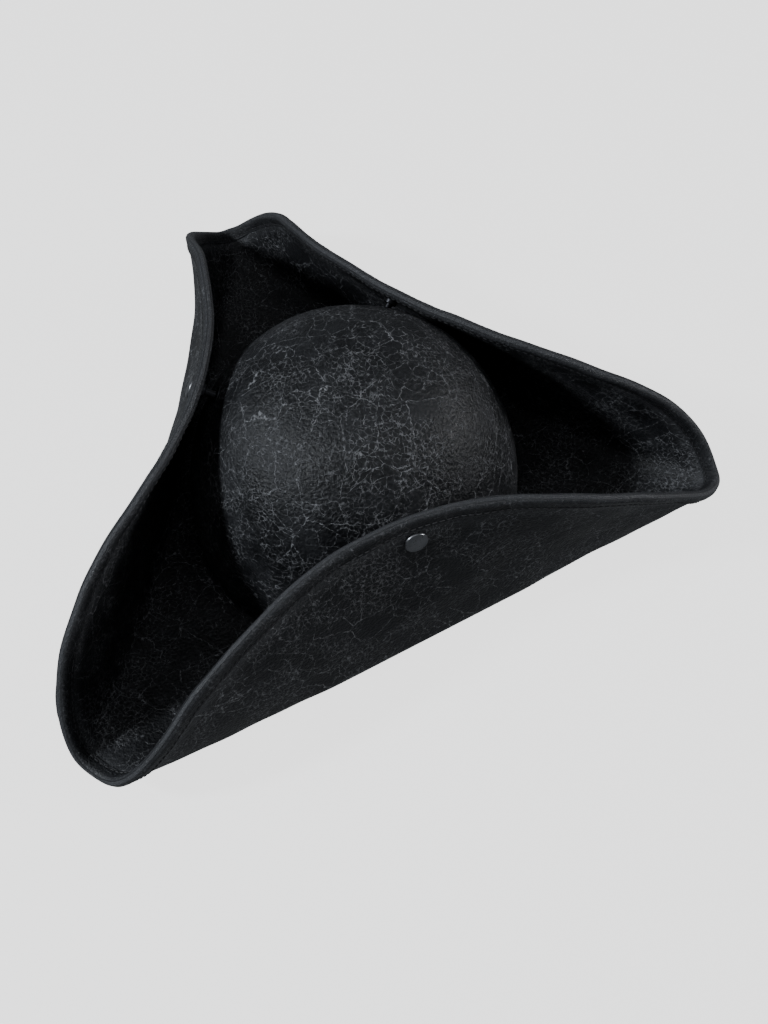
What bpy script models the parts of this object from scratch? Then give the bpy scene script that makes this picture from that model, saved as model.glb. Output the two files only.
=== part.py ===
"""Three-cornered pirate hat: a domed crown on a stiffened brim with three snapped-up flaps.

Lengths are in millimetres and angles in degrees until a mesh is made. The brim is drawn flat
around its own centre. Each flap then bends its share of that flat sheet, and the two bends fade
into each other at the corners, which pinches each corner into a spout.
"""
import math

import bmesh
import bpy
import numpy as np
from mathutils import Vector

MM = 0.001

# --- Crown -------------------------------------------------------------------
CROWN_HALF_WIDTH = 97.2
CROWN_HALF_LENGTH = 93.8
CROWN_HEIGHT = 135.0
CROWN_ROUNDNESS = 2.6          # 2 is an ellipsoid, more is squarer
CROWN_WALL = 2.0
CROWN_CENTRE = (4.5, -10.4)     # the crown sits forward of the middle of the brim
LINING_ROOM = 5.4               # air between crown wall and lining, for the snap backs
LINING_WALL = 0.8
LINING_LIFT = 3.0               # lower edge of the lining above the underside
SWEATBAND_HEIGHT = 34.0
SWEATBAND_WALL = 1.2
SEAM_TAPE_HEIGHT = 14.0
SEAM_TAPE_WALL = 1.4

# --- Brim, drawn flat --------------------------------------------------------
BRIM_HALF_WIDTH = 224.6
BRIM_HALF_DEPTH = 214.6
SUEDE_THICKNESS = 1.0
CORE_THICKNESS = 1.4
BEND_WIDTH = 22.0               # flat width that the turn-up takes
BEND_ANGLE = 94.0               # slope straight after the turn-up, at the middle of a flap
BEND_FADE = 14.0                # how much less it is at the flap's ends
LEAN_RUN = 0.75                 # share of the flap height over which it reaches its lean
HINGE_BEYOND_FOLD = 8.0         # the flap bends open on a line this far past its fold
HINGE_SLIT = 0.5
HINGE_OUTSIDE = 1.6             # the line's distance from the brim's outer face
FLAP_END_HEIGHT = 4.0           # least height that a flap has at its two ends
CORNER_HALF_ANGLE = 3.5         # half of the corner strip that stays with the brim
CORNER_RISE_START = 112.0        # the underside stays flat out to here

# name: fold direction, fold distance, lean at the middle, change of lean from the middle to
# its left-hand end (seen from the crown) and drop of lean at both ends
FLAPS = {
    "front": (272.0, 108.5, 105.0, -29.2, -65.6),
    "right_rear": (29.6, 112.0, 123.7, -0.2, -22.5),
    "left_rear": (145.1, 102.0, 116.5, 7.3, -58.7),
}
# corner name: the two flaps that it lies between, how far its tip is lifted, and the angle on
# each side of it over which the two bends fade
CORNERS = {
    "front_right": ("front", "right_rear", 20.2, 27.0),
    "rear": ("right_rear", "left_rear", 14.0, 36.0),
    "front_left": ("left_rear", "front", 26.0, 27.0),
}

# --- Edge tape ---------------------------------------------------------------
TAPE_WIDTH = 7.0
TAPE_THICKNESS = 0.8
TAPE_GAP = 1.1                  # inside the fold of the tape

# --- Snaps -------------------------------------------------------------------
SNAP_FROM_EDGE = 14.0
SNAP_AZIMUTH = {"front": 271.5, "right_rear": 33.5, "left_rear": 147.0}
CAP_RADIUS = 6.4
CAP_HEIGHT = 2.3
CAP_POST_RADIUS = 2.0
SOCKET_RADIUS = 5.4
SOCKET_HEIGHT = 2.8
STUD_BALL_RADIUS = 2.5
STUD_NECK_RADIUS = 2.1
STUD_FLANGE_RADIUS = 5.0
STUD_FLANGE_HEIGHT = 0.8
STUD_BORE_DEPTH = 1.2
BACK_RADIUS = 5.0
BACK_HEIGHT = 0.8
BACK_POST_RADIUS = 1.4

# --- Fits --------------------------------------------------------------------
GAP = 0.3                       # air between touching pieces
LAYER_GAP = 0.4                 # air between the layers of the brim, whose facets bend
BRIM_SEAM = 2.0                 # between the crown and the inner edge of the brim
MIN_FLAT = 1.0                  # least width of the brim's first row
POST_CLEARANCE = 0.4            # round a post in its hole
SNAP_SEAT_GAP = 1.0             # under cap and socket, where the flap is slightly hollow
BACK_SEAT_GAP = 1.0             # between a snap's back and the crown's faceted inside

# --- Mesh fineness -----------------------------------------------------------
FLAP_COLUMNS = 16
FLAP_ROWS = 6
RING_ROWS = 5                   # the first of them is flat
RING_CROWDING = 1.6             # over 1 packs the ring's other rows towards the bend
STRIP_ROWS = 4
CORNER_COLUMNS = 4
DOME_COLUMNS = 36
DOME_ROWS = 6
TURNED_SIDES = 14
BEND_STEPS = 24

SUEDE = ("suede_black", (0.045, 0.047, 0.052), 0.62, 0.0)
CORE = ("stiffener_felt", (0.10, 0.10, 0.11), 0.95, 0.0)
SATIN = ("lining_satin", (0.02, 0.02, 0.022), 0.45, 0.0)
TWILL = ("sweatband_twill", (0.03, 0.03, 0.032), 0.8, 0.0)
STEEL = ("gunmetal", (0.42, 0.43, 0.46), 0.28, 1.0)

SHEET_HALF = CORE_THICKNESS / 2 + LAYER_GAP + SUEDE_THICKNESS
UNDERSIDE = -SHEET_HALF


# --- Scene helpers -----------------------------------------------------------
def clear_scene():
    for thing in list(bpy.context.scene.objects):
        bpy.data.objects.remove(thing, do_unlink=True)


def material(recipe):
    """The Principled material of that recipe, made once."""
    name, colour, roughness, metallic = recipe
    found = bpy.data.materials.get(name)
    if found:
        return found
    made = bpy.data.materials.new(name)
    made.use_nodes = True
    shader = made.node_tree.nodes["Principled BSDF"]
    shader.inputs["Base Color"].default_value = (*colour, 1.0)
    shader.inputs["Roughness"].default_value = roughness
    shader.inputs["Metallic"].default_value = metallic
    return made


def add_object(name, points, faces, recipe, parent=None):
    """A mesh object from points in millimetres, hung on an empty if one is given."""
    origin = np.zeros(3) if parent is None else np.array(parent.location) / MM
    mesh = bpy.data.meshes.new(name)
    mesh.from_pydata([tuple((np.asarray(p) - origin) * MM) for p in points], [], faces)
    shape = bmesh.new()
    shape.from_mesh(mesh)
    bmesh.ops.recalc_face_normals(shape, faces=shape.faces)
    if shape.calc_volume(signed=True) < 0.0:
        bmesh.ops.reverse_faces(shape, faces=shape.faces)
    shape.to_mesh(mesh)
    shape.free()
    mesh.shade_smooth()
    mesh.set_sharp_from_angle(angle=math.radians(35))
    mesh.materials.append(material(recipe))
    made = bpy.data.objects.new(name, mesh)
    made.parent = parent
    bpy.context.scene.collection.objects.link(made)
    return made


def add_empty(name, place):
    made = bpy.data.objects.new(name, None)
    made.location = Vector(place) * MM
    made.empty_display_size = 0.02
    bpy.context.scene.collection.objects.link(made)
    return made


def cut(target, cutter):
    """Leave the target with a hole where the hidden cutter is."""
    cutter.hide_render = True
    cutter.display_type = "WIRE"
    modifier = target.modifiers.new("hole_" + cutter.name, "BOOLEAN")
    modifier.operation = "DIFFERENCE"
    modifier.solver = "EXACT"
    modifier.object = cutter


# --- The brim as a bent sheet ------------------------------------------------
def smooth_step(t):
    t = np.clip(t, 0.0, 1.0)
    return t * t * (3.0 - 2.0 * t)


def rim_radius(azimuth):
    """Radius of the flat brim's edge in that direction."""
    mean = (BRIM_HALF_WIDTH + BRIM_HALF_DEPTH) / 2
    swing = (BRIM_HALF_WIDTH - BRIM_HALF_DEPTH) / 2
    return mean + swing * np.cos(np.radians(2 * azimuth))


def mean_radius():
    return (BRIM_HALF_WIDTH + BRIM_HALF_DEPTH) / 2


def flap_axes(name):
    """Unit vectors across the fold, outwards, and along it."""
    angle = math.radians(FLAPS[name][0])
    return (math.cos(angle), math.sin(angle)), (-math.sin(angle), math.cos(angle))


def flap_bend(name, across, along):
    """How far one flap's bend moves points of the flat brim: along its fold direction and up."""
    _, fold, lean, twist, drop = FLAPS[name]
    start = fold - BEND_WIDTH / 2
    half_length = math.sqrt(mean_radius() ** 2 - fold ** 2)
    side = np.clip(along / half_length, -1.1, 1.1)
    end_slope = lean + twist * side + drop * side ** 2
    bend_angle = BEND_ANGLE - BEND_FADE * side ** 2
    run = np.maximum(across - start, 0.0)
    run_of_lean = LEAN_RUN * (mean_radius() - fold)
    step = run / BEND_STEPS
    shift = 0.0
    lift = 0.0
    for index in range(BEND_STEPS + 1):
        reach = step * index
        slope = bend_angle * smooth_step(reach / BEND_WIDTH)
        slope = slope + (end_slope - bend_angle) * smooth_step((reach - 0.6 * BEND_WIDTH) / run_of_lean)
        weight = 0.5 if index in (0, BEND_STEPS) else 1.0
        shift = shift + weight * (np.cos(np.radians(slope)) - 1.0) * step
        lift = lift + weight * np.sin(np.radians(slope)) * step
    return shift, lift


def flap_corner(name, side):
    """The corner at a flap's end; side is -1 or 1."""
    for corner, (first, second, _, _) in CORNERS.items():
        if (first if side > 0 else second) == name:
            return corner
    raise ValueError(name)


def corner_azimuth(name):
    """Direction half-way between a corner's two flaps."""
    first, second, _, _ = CORNERS[name]
    start = FLAPS[first][0]
    return start + ((FLAPS[second][0] - start) % 360.0) / 2


def turn_to(azimuth, target):
    """Signed turn from one direction to another, the short way round."""
    return (target - azimuth + 180.0) % 360.0 - 180.0


def flap_share(name, azimuth):
    """How much of a flap's bend applies in a direction: all of it, fading out past its corners."""
    middle = FLAPS[name][0]
    turn = turn_to(middle, azimuth)
    corners = (flap_corner(name, -1), flap_corner(name, 1))
    reach = [abs(turn_to(middle, corner_azimuth(corner))) for corner in corners]
    limit = np.where(turn < 0.0, reach[0], reach[1])
    softness = np.where(turn < 0.0, CORNERS[corners[0]][3], CORNERS[corners[1]][3])
    return smooth_step((limit + softness - np.abs(turn)) / (2 * softness))


def bent(azimuth, radius):
    """Middle surface of the bent brim at a flat polar position, as an (..., 3) array."""
    azimuth = np.asarray(azimuth, float)
    radius = np.asarray(radius, float)
    x = radius * np.cos(np.radians(azimuth))
    y = radius * np.sin(np.radians(azimuth))
    place = np.stack([x, y, 0.0 * x], -1)
    for name in FLAPS:
        outwards, along = flap_axes(name)
        shift, lift = flap_bend(name, x * outwards[0] + y * outwards[1], x * along[0] + y * along[1])
        share = flap_share(name, azimuth)
        place[..., 0] += share * outwards[0] * shift
        place[..., 1] += share * outwards[1] * shift
        place[..., 2] += share * lift
    rise_run = mean_radius() - CORNER_RISE_START
    for name, (_, _, rise, _) in CORNERS.items():
        facing = np.maximum(np.cos(np.radians(azimuth - corner_azimuth(name))), 0.0) ** 2
        place[..., 2] += rise * facing * np.maximum((radius - CORNER_RISE_START) / rise_run, 0.0) ** 1.5
    return place


def bent_frame(azimuth, radius):
    """Place, outward direction in the sheet, and the normal on the crown's side."""
    nudge = 0.05
    place = bent(azimuth, radius)
    outwards = bent(azimuth, radius + nudge) - bent(azimuth, radius - nudge)
    turn = np.degrees(nudge / radius)
    round_ = bent(azimuth + turn, radius) - bent(azimuth - turn, radius)
    normal = np.cross(outwards, round_)
    normal /= np.linalg.norm(normal, axis=-1, keepdims=True)
    outwards /= np.linalg.norm(outwards, axis=-1, keepdims=True)
    return place, outwards, normal


def layer(name):
    """Lowest and highest offset of one brim layer from the middle surface."""
    half_core = CORE_THICKNESS / 2
    return {
        "top": (half_core + LAYER_GAP, SHEET_HALF),
        "core": (-half_core, half_core),
        "under": (-SHEET_HALF, -half_core - LAYER_GAP),
    }[name]


def hinge_line(name):
    """Distance from the brim's centre of the line that a flap bends open on."""
    return FLAPS[name][1] + HINGE_BEYOND_FOLD


def flap_end(name, side):
    """Azimuth of a flap's end; side is -1 or 1."""
    azimuth = FLAPS[name][0]
    reach = abs(turn_to(azimuth, corner_azimuth(flap_corner(name, side)))) - CORNER_HALF_ANGLE
    while rim_radius(azimuth + side * reach) * math.cos(math.radians(reach)) < (
            hinge_line(name) + FLAP_END_HEIGHT):
        reach -= 0.1
    return azimuth + side * reach


def flap_columns(name):
    """Azimuths across a flap, closer together towards its pinched ends."""
    first = flap_end(name, -1)
    last = flap_end(name, 1)
    even = np.linspace(-1.0, 1.0, FLAP_COLUMNS + 1)
    crowded = np.sin(even * math.pi / 2)
    return (first + last) / 2 + (last - first) / 2 * (even + crowded) / 2


def sheet_solid(name, azimuths, radii, offsets, recipe, parent=None, closed=False, missing=None):
    """A layer of the brim on a grid: one azimuth for each column, one list of radii for each.

    missing(column, row) says which cells between the columns and rows are left out.
    """
    radii = np.asarray(radii)
    columns, width = radii.shape
    azimuth = np.repeat(np.asarray(azimuths)[:, None], width, 1)
    place, _, normal = bent_frame(azimuth, radii)
    points = list((place + normal * offsets[0]).reshape(-1, 3))
    points += list((place + normal * offsets[1]).reshape(-1, 3))
    top = columns * width
    last = columns if closed else columns - 1
    cells = {(column, row) for column in range(last) for row in range(width - 1)
             if missing is None or not missing(column, row)}
    faces = []
    for column, row in sorted(cells):
        here = column * width + row
        there = ((column + 1) % columns) * width + row
        for skin in (0, top):
            faces.append((skin + here, skin + here + 1, skin + there + 1))
            faces.append((skin + here, skin + there + 1, skin + there))
        before = (column - 1) % columns if closed else column - 1
        after = (column + 1) % columns if closed else column + 1
        edges = {(column, row - 1): (here, there), (column, row + 1): (here + 1, there + 1),
                 (before, row): (here, here + 1), (after, row): (there, there + 1)}
        for neighbour, (first, second) in edges.items():
            if neighbour not in cells:
                faces.append((first, second, top + second, top + first))
    return add_object(name, used_points(points, faces), renumbered(faces), recipe, parent)


def used_points(points, faces):
    return [points[index] for index in sorted({index for face in faces for index in face})]


def renumbered(faces):
    order = {index: place for place, index in enumerate(sorted({i for face in faces for i in face}))}
    return [tuple(order[index] for index in face) for face in faces]


def crown_radius_from_brim_centre(azimuth, half_width, half_length):
    """Distance from the brim's centre to an upright oval around the crown's centre."""
    low = 0.0
    high = 2 * mean_radius()
    for _ in range(40):
        middle = (low + high) / 2
        x = middle * math.cos(math.radians(azimuth)) - CROWN_CENTRE[0]
        y = middle * math.sin(math.radians(azimuth)) - CROWN_CENTRE[1]
        if (x / half_width) ** 2 + (y / half_length) ** 2 < 1.0:
            low = middle
        else:
            high = middle
    return middle


def slit_turn():
    """The slit at a flap's end as a turn round the brim's centre."""
    return math.degrees(2 * HINGE_SLIT / mean_radius())


def corner_columns(corner, count):
    """Azimuths across the corner strip that stays with the crown."""
    before, after, _, _ = CORNERS[corner]
    start = flap_end(before, 1) + slit_turn()
    end = start + (flap_end(after, -1) - slit_turn() - start) % 360.0
    return np.linspace(start, end, count + 1)


def hinge_radius(flap, azimuth, past=0.0):
    """Radius of a flap's hinge line in one direction, moved outwards by past."""
    return (hinge_line(flap) + past) / math.cos(math.radians(azimuth - FLAPS[flap][0]))


def flat_radius(azimuth):
    """How far out the brim is flat in one direction: up to the first bend or the corners' rise."""
    reach = CORNER_RISE_START
    for middle, fold, *_ in FLAPS.values():
        facing = math.cos(math.radians(azimuth - middle))
        if facing > 0.0:
            reach = min(reach, (fold - BEND_WIDTH / 2) / facing)
    return reach


def ring_grid():
    """Columns of the brim that stays with the crown; its outer rows exist in the corners only."""
    azimuths = []
    radii = []
    strips = []
    for corner in ("front_left", "front_right", "rear"):
        before, after, _, _ = CORNERS[corner]
        strip = corner_columns(corner, CORNER_COLUMNS)
        start = hinge_radius(before, flap_end(before, 1), -HINGE_SLIT)
        end = hinge_radius(after, flap_end(after, -1), -HINGE_SLIT)
        columns = [(azimuth, start + (end - start) * index / CORNER_COLUMNS, True)
                   for index, azimuth in enumerate(strip)]
        columns += [(azimuth, hinge_radius(after, azimuth, -HINGE_SLIT), False)
                    for azimuth in flap_columns(after)]
        for azimuth, middle, in_strip in columns:
            inner = crown_radius_from_brim_centre(azimuth, CROWN_HALF_WIDTH + BRIM_SEAM,
                                                  CROWN_HALF_LENGTH + BRIM_SEAM)
            flat = max(inner + MIN_FLAT, flat_radius(azimuth))
            share = np.linspace(0.0, 1.0, RING_ROWS) ** (1 / RING_CROWDING)
            beyond = np.linspace(0.0, 1.0, STRIP_ROWS + 1)[1:]
            rim = float(rim_radius(azimuth))
            azimuths.append(azimuth)
            radii.append([inner, *(flat + (middle - flat) * share), *(middle + (rim - middle) * beyond)])
            strips.append(in_strip)
    return azimuths, radii, strips


def make_brim_base():
    azimuths, radii, strips = ring_grid()

    def missing(column, row):
        following = (column + 1) % len(strips)
        return row >= RING_ROWS and not (strips[column] and strips[following])

    for part, recipe in (("top", SUEDE), ("core", CORE), ("under", SUEDE)):
        sheet_solid("brim_" + part, azimuths, radii, layer(part), recipe, closed=True, missing=missing)


# --- The crown ---------------------------------------------------------------
def oval_wall(z, inset):
    """Half width and half length of the crown's surface, inset by a wall, at a height."""
    height = CROWN_HEIGHT - inset
    share = min(max(z, 0.0) / height, 1.0)
    size = (1.0 - share ** CROWN_ROUNDNESS) ** (1.0 / CROWN_ROUNDNESS)
    return (CROWN_HALF_WIDTH - inset) * size, (CROWN_HALF_LENGTH - inset) * size


def oval_ring(z, inset, columns):
    half_width, half_length = oval_wall(z, inset)
    ring = []
    for index in range(columns):
        turn = 2 * math.pi * index / columns
        ring.append((CROWN_CENTRE[0] + half_width * math.cos(turn),
                     CROWN_CENTRE[1] + half_length * math.sin(turn), z))
    return ring


def dome_levels(inset, bottom):
    """Heights of a dome's rings, closer together towards the top."""
    height = CROWN_HEIGHT - inset
    levels = [bottom, SWEATBAND_HEIGHT / 2]
    for index in range(DOME_ROWS):
        share = math.sin(math.pi / 2 * index / DOME_ROWS)
        levels.append(SWEATBAND_HEIGHT + (height - SWEATBAND_HEIGHT) * share)
    return levels


def dome_solid(name, outer_inset, wall, bottom, recipe):
    """An open-bottomed dome with an even wall."""
    points = []
    faces = []
    skins = []
    for inset in (outer_inset, outer_inset + wall):
        first = len(points)
        for z in dome_levels(inset, bottom):
            points.extend(oval_ring(z, inset, DOME_COLUMNS))
        points.append((CROWN_CENTRE[0], CROWN_CENTRE[1], CROWN_HEIGHT - inset))
        skins.append(first)
    rings = len(dome_levels(outer_inset, bottom))
    for first in skins:
        pole = first + rings * DOME_COLUMNS
        for row in range(rings - 1):
            for index in range(DOME_COLUMNS):
                here = first + row * DOME_COLUMNS + index
                there = first + row * DOME_COLUMNS + (index + 1) % DOME_COLUMNS
                faces.append((here, there, there + DOME_COLUMNS, here + DOME_COLUMNS))
        for index in range(DOME_COLUMNS):
            here = pole - DOME_COLUMNS + index
            there = pole - DOME_COLUMNS + (index + 1) % DOME_COLUMNS
            faces.append((here, there, pole))
    for index in range(DOME_COLUMNS):
        following = (index + 1) % DOME_COLUMNS
        faces.append((skins[0] + index, skins[0] + following, skins[1] + following, skins[1] + index))
    return add_object(name, points, faces, recipe)


def band_solid(name, outer_inset, wall, bottom, top, recipe):
    """A short upright band that follows the crown's oval."""
    levels = (bottom, min(SWEATBAND_HEIGHT, top) / 2, top)
    points = []
    for inset in (outer_inset, outer_inset + wall):
        for z in levels:
            points.extend(oval_ring(z, inset, DOME_COLUMNS))
    skin = len(levels) * DOME_COLUMNS
    faces = []
    for index in range(DOME_COLUMNS):
        following = (index + 1) % DOME_COLUMNS
        for first in (0, skin):
            for row in range(len(levels) - 1):
                here = first + row * DOME_COLUMNS
                up = here + DOME_COLUMNS
                faces.append((here + index, here + following, up + following, up + index))
        for row in (0, len(levels) - 1):
            here = row * DOME_COLUMNS
            faces.append((here + index, here + following, skin + here + following, skin + here + index))
    return add_object(name, points, faces, recipe)


def make_crown():
    shell = dome_solid("crown_shell", 0.0, CROWN_WALL, UNDERSIDE, SUEDE)
    lining_inset = CROWN_WALL + LINING_ROOM
    dome_solid("crown_lining", lining_inset, LINING_WALL, UNDERSIDE + LINING_LIFT, SATIN)
    tape_inset = CROWN_WALL + (LINING_ROOM - SEAM_TAPE_WALL) / 2
    band_solid("seam_tape", tape_inset, SEAM_TAPE_WALL, UNDERSIDE + GAP,
               UNDERSIDE + SEAM_TAPE_HEIGHT, TWILL)
    band_solid("sweatband", lining_inset + LINING_WALL + GAP, SWEATBAND_WALL, UNDERSIDE + GAP,
               SWEATBAND_HEIGHT, TWILL)
    return shell


# --- Edge tape ---------------------------------------------------------------
def tape_profile():
    """Cross-section of the folded tape: at the edge or inside it, past it, along the normal."""
    inside = SHEET_HALF + TAPE_GAP
    outside = inside + TAPE_THICKNESS
    nose = TAPE_GAP + TAPE_THICKNESS
    return [
        (True, 0.0, inside), (False, TAPE_GAP, inside), (False, TAPE_GAP, -inside), (True, 0.0, -inside),
        (True, 0.0, -outside), (False, 0.0, -outside), (False, nose, -0.5 * outside),
        (False, nose, 0.5 * outside), (False, 0.0, outside), (True, 0.0, outside),
    ]


def tape_solid(name, azimuths, parent=None):
    """The folded tape along the brim's edge between two azimuths."""
    azimuths = np.asarray(azimuths)
    at_edge = bent_frame(azimuths, rim_radius(azimuths))
    inside_edge = bent_frame(azimuths, rim_radius(azimuths) - TAPE_WIDTH)
    profile = tape_profile()
    points = []
    for column in range(len(azimuths)):
        for inner, past, lift in profile:
            place, outwards, normal = inside_edge if inner else at_edge
            points.append(place[column] + outwards[column] * past + normal[column] * lift)
    size = len(profile)
    faces = []
    for section in range(len(azimuths) - 1):
        for index in range(size):
            following = (index + 1) % size
            here = section * size
            ahead = here + size
            faces.append((here + index, here + following, ahead + following))
            faces.append((here + index, ahead + following, ahead + index))
    end = (len(azimuths) - 1) * size
    for first in (0, end):
        faces.append((first, first + 1, first + 8, first + 9))
        faces.append((first + 1, first + 2, first + 5, first + 6, first + 7, first + 8))
        faces.append((first + 2, first + 3, first + 4, first + 5))
    return add_object(name, points, faces, SUEDE, parent)


def make_corner_tapes():
    for corner in CORNERS:
        tape_solid("edge_tape_corner_" + corner, corner_columns(corner, CORNER_COLUMNS))


# --- Snaps -------------------------------------------------------------------
def turned_solid(name, profile, place, axis, recipe, parent=None):
    """A body of revolution; the profile is (radius, height) pairs round its cross-section."""
    up = Vector(axis).normalized()
    side = up.orthogonal().normalized()
    front = up.cross(side)
    points = []
    rings = []
    for radius, height in profile:
        if radius == 0.0:
            rings.append([len(points)] * TURNED_SIDES)
            points.append(Vector(place) + up * height)
            continue
        rings.append(list(range(len(points), len(points) + TURNED_SIDES)))
        for index in range(TURNED_SIDES):
            turn = 2 * math.pi * index / TURNED_SIDES
            points.append(Vector(place) + up * height
                          + (side * math.cos(turn) + front * math.sin(turn)) * radius)
    faces = []
    pairs = list(zip(rings, rings[1:]))
    if profile[0][0] > 0.0:
        pairs.append((rings[-1], rings[0]))
    for first, second in pairs:
        for index in range(TURNED_SIDES):
            following = (index + 1) % TURNED_SIDES
            corners = [first[index], first[following], second[following], second[index]]
            face = list(dict.fromkeys(corners))
            if len(face) > 2:
                faces.append(face)
    return add_object(name, points, faces, recipe, parent)


def snap_frame(flap):
    """Place on the brim's middle surface and direction towards the crown."""
    azimuth = SNAP_AZIMUTH[flap]
    place, _, normal = bent_frame(np.array(azimuth), rim_radius(azimuth) - SNAP_FROM_EDGE)
    return place, normal


def inside_crown(point, inset):
    """Whether a point is inside the crown's surface, inset by a wall."""
    half_width, half_length = oval_wall(point[2], inset)
    if half_width <= 0.0:
        return False
    return (((point[0] - CROWN_CENTRE[0]) / half_width) ** 2
            + ((point[1] - CROWN_CENTRE[1]) / half_length) ** 2) < 1.0


def reach_of_crown(place, direction, inset):
    """Distance along a ray to the crown's surface, inset by a wall."""
    reach = 0.0
    while not inside_crown(place + direction * reach, inset):
        reach += 0.02
    return reach


def flange_reach(place, direction, radius, inset, lowest):
    """First or last distance at which a round flange of that radius meets the crown."""
    up = Vector(direction)
    side = up.orthogonal().normalized()
    front = up.cross(side)
    reaches = [reach_of_crown(place, direction, inset)]
    for index in range(TURNED_SIDES):
        turn = 2 * math.pi * index / TURNED_SIDES
        offset = np.array((side * math.cos(turn) + front * math.sin(turn)) * radius)
        reaches.append(reach_of_crown(place + offset, direction, inset))
    return min(reaches) if lowest else max(reaches)


def make_snap(flap, hinge, layers, crown):
    """Cap and socket on the flap, stud and back on the crown, all on one line."""
    place, axis = snap_frame(flap)
    start = SHEET_HALF + SNAP_SEAT_GAP
    socket_top = start + SOCKET_HEIGHT
    cap = [(0.0, -start - CAP_HEIGHT), (0.55 * CAP_RADIUS, -start - 0.9 * CAP_HEIGHT),
           (0.88 * CAP_RADIUS, -start - 0.55 * CAP_HEIGHT), (CAP_RADIUS, -start - 0.2 * CAP_HEIGHT),
           (0.94 * CAP_RADIUS, -start), (CAP_POST_RADIUS, -start),
           (CAP_POST_RADIUS, start + 0.3 * SOCKET_HEIGHT), (0.0, start + 0.3 * SOCKET_HEIGHT)]
    turned_solid("snap_cap_" + flap, cap, place, axis, STEEL, hinge)
    bore = CAP_POST_RADIUS + GAP
    mouth = STUD_BALL_RADIUS + POST_CLEARANCE
    socket = [(bore, start), (SOCKET_RADIUS, start), (SOCKET_RADIUS, socket_top - 0.5),
              (SOCKET_RADIUS - 0.5, socket_top), (mouth, socket_top),
              (mouth, start + 0.35 * SOCKET_HEIGHT), (bore, start + 0.35 * SOCKET_HEIGHT)]
    turned_solid("snap_socket_" + flap, socket, place, axis, STEEL, hinge)

    seat = flange_reach(place, axis, STUD_FLANGE_RADIUS, 0.0, True) - GAP
    face = seat - STUD_FLANGE_HEIGHT
    tip = start + 0.3 * SOCKET_HEIGHT + GAP
    bore_top = seat - STUD_BORE_DEPTH
    hole = BACK_POST_RADIUS + GAP
    stud = [(0.0, tip), (0.7 * STUD_BALL_RADIUS, tip + 0.15), (STUD_BALL_RADIUS, tip + 0.7),
            (STUD_NECK_RADIUS, tip + 1.5), (STUD_NECK_RADIUS, face - 0.2),
            (STUD_FLANGE_RADIUS - 0.4, face), (STUD_FLANGE_RADIUS, face + 0.3),
            (STUD_FLANGE_RADIUS, seat), (hole, seat), (hole, bore_top), (0.0, bore_top)]
    turned_solid("snap_stud_" + flap, stud, place, axis, STEEL)

    inner = flange_reach(place, axis, BACK_RADIUS, CROWN_WALL, False) + BACK_SEAT_GAP
    back = [(0.0, bore_top + GAP), (BACK_POST_RADIUS, bore_top + GAP), (BACK_POST_RADIUS, inner),
            (BACK_RADIUS, inner), (BACK_RADIUS, inner + BACK_HEIGHT), (0.0, inner + BACK_HEIGHT)]
    turned_solid("snap_back_" + flap, back, place, axis, STEEL)

    post_hole = CAP_POST_RADIUS + POST_CLEARANCE
    punch = turned_solid("punch_flap_" + flap,
                         [(0.0, -start - 1), (post_hole, -start - 1), (post_hole, start + 1),
                          (0.0, start + 1)], place, axis, STEEL, hinge)
    for piece in layers:
        cut(piece, punch)
    back_hole = BACK_POST_RADIUS + POST_CLEARANCE
    awl = turned_solid("punch_crown_" + flap,
                       [(0.0, seat - 1), (back_hole, seat - 1), (back_hole, inner + 1),
                        (0.0, inner + 1)], place, axis, STEEL)
    cut(crown, awl)


# --- Flaps -------------------------------------------------------------------
def hinge_place(flap):
    """Point just outside the brim, at the middle of the line that the flap bends on."""
    azimuth = FLAPS[flap][0]
    place, _, normal = bent_frame(np.array(azimuth), hinge_line(flap))
    return place - normal * (SHEET_HALF + HINGE_OUTSIDE)


def make_flap(flap, crown):
    hinge = add_empty("hinge_" + flap, hinge_place(flap))
    azimuths = flap_columns(flap)
    share = np.linspace(0.0, 1.0, FLAP_ROWS + 1)
    radii = []
    for azimuth in azimuths:
        inner = hinge_radius(flap, azimuth)
        radii.append(inner + (rim_radius(azimuth) - inner) * share)
    layers = []
    for part, recipe in (("top", SUEDE), ("core", CORE), ("under", SUEDE)):
        name = "flap_" + flap + "_" + part
        layers.append(sheet_solid(name, azimuths, radii, layer(part), recipe, hinge))
    tape_solid("edge_tape_" + flap, azimuths, hinge)
    make_snap(flap, hinge, layers, crown)


def stand_on_origin():
    """Move everything so that the middle of the hat's box stands on the origin."""
    bpy.context.view_layer.update()
    low = np.full(3, np.inf)
    high = np.full(3, -np.inf)
    for thing in bpy.context.scene.objects:
        if thing.type != "MESH" or thing.hide_render:
            continue
        for vertex in thing.data.vertices:
            place = np.array(thing.matrix_world @ vertex.co)
            low = np.minimum(low, place)
            high = np.maximum(high, place)
    shift = Vector(((low[0] + high[0]) / 2, (low[1] + high[1]) / 2, low[2]))
    for thing in bpy.context.scene.objects:
        if thing.parent is None:
            thing.location -= shift


def main():
    clear_scene()
    crown = make_crown()
    make_brim_base()
    make_corner_tapes()
    for flap in FLAPS:
        make_flap(flap, crown)
    stand_on_origin()


main()
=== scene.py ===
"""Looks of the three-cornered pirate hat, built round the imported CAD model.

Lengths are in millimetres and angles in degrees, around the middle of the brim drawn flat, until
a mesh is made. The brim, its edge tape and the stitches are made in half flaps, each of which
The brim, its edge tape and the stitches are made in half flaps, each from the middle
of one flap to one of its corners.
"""

import math

import bmesh
import bpy
import numpy as np
from mathutils import Matrix, Vector


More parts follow.
